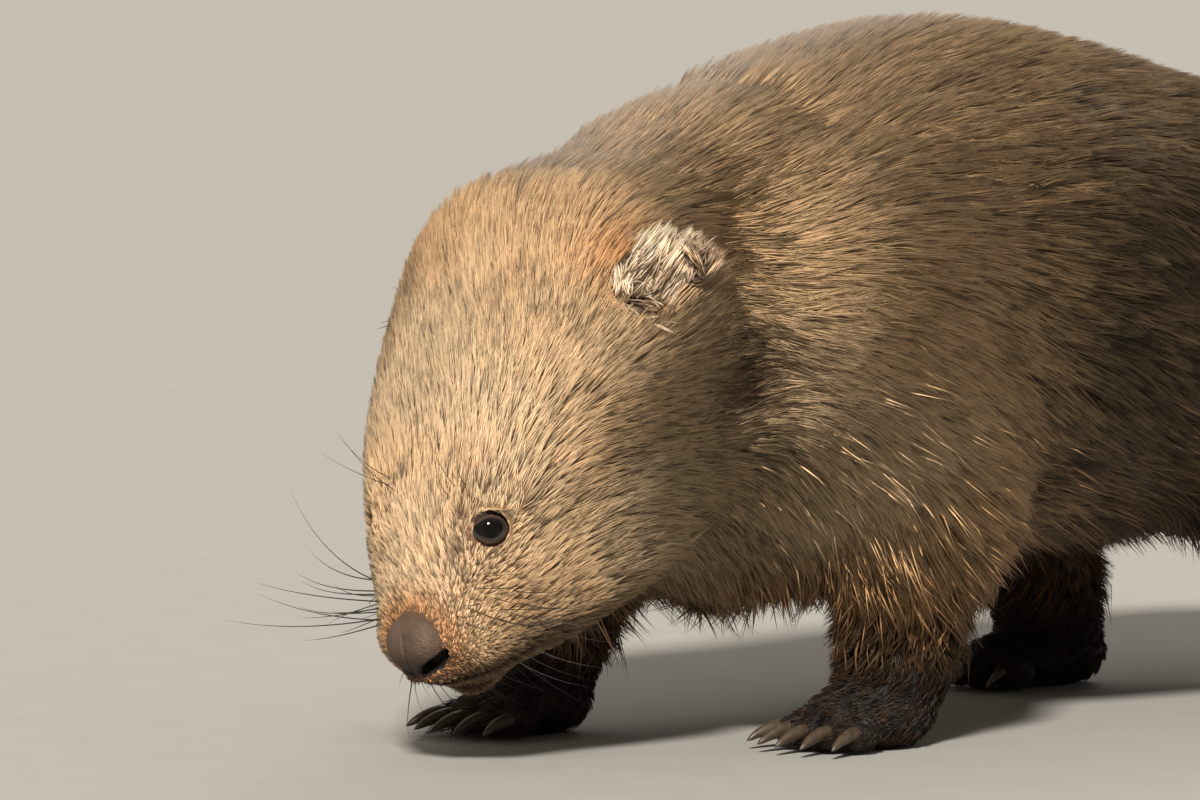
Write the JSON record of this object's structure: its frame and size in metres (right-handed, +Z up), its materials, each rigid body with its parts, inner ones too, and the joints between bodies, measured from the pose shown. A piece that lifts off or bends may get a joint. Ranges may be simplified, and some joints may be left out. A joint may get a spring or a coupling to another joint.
{
  "type": "wombat",
  "caption": "Life-size still model of a bare-nosed wombat walking with its head low, its coarse coat in flat locks, standing on four flat soles.",
  "frame": {"origin": "middle of the model's box, on the ground under its belly", "axes": "+Z up, +X to the animal's left, +Y towards its rump, so that it faces -Y with its head turned a little to its left"},
  "size_m": [0.2838, 0.6778, 0.3153],
  "materials": {
    "coat": "coarse fur, tan with dark brown ticking",
    "nose": "moist granular skin",
    "eye": "wet and glossy",
    "claw": "worn horn"
  },
  "bodies": {
    "root": {"head": "coat", "neck": "coat", "torso": "coat", "tail": "coat", "ear_left": "coat", "ear_right": "coat", "eye_left": "eye", "eye_right": "eye", "nose_pad": "nose", "foreleg_left": "coat", "foreleg_right": "coat", "hindleg_left": "coat", "hindleg_right": "coat", "forepaw_left": "coat", "forepaw_right": "coat", "hindpaw_left": "coat", "hindpaw_right": "coat", "claw_forepaw_left_1": "claw", "claw_forepaw_left_2": "claw", "claw_forepaw_left_3": "claw", "claw_forepaw_left_4": "claw", "claw_forepaw_left_5": "claw", "claw_forepaw_right_1": "claw", "claw_forepaw_right_2": "claw", "claw_forepaw_right_3": "claw", "claw_forepaw_right_4": "claw", "claw_forepaw_right_5": "claw", "claw_hindpaw_left_1": "claw", "claw_hindpaw_left_2": "claw", "claw_hindpaw_left_3": "claw", "claw_hindpaw_left_4": "claw", "claw_hindpaw_right_1": "claw", "claw_hindpaw_right_2": "claw", "claw_hindpaw_right_3": "claw", "claw_hindpaw_right_4": "claw"}
  },
  "joints": []
}
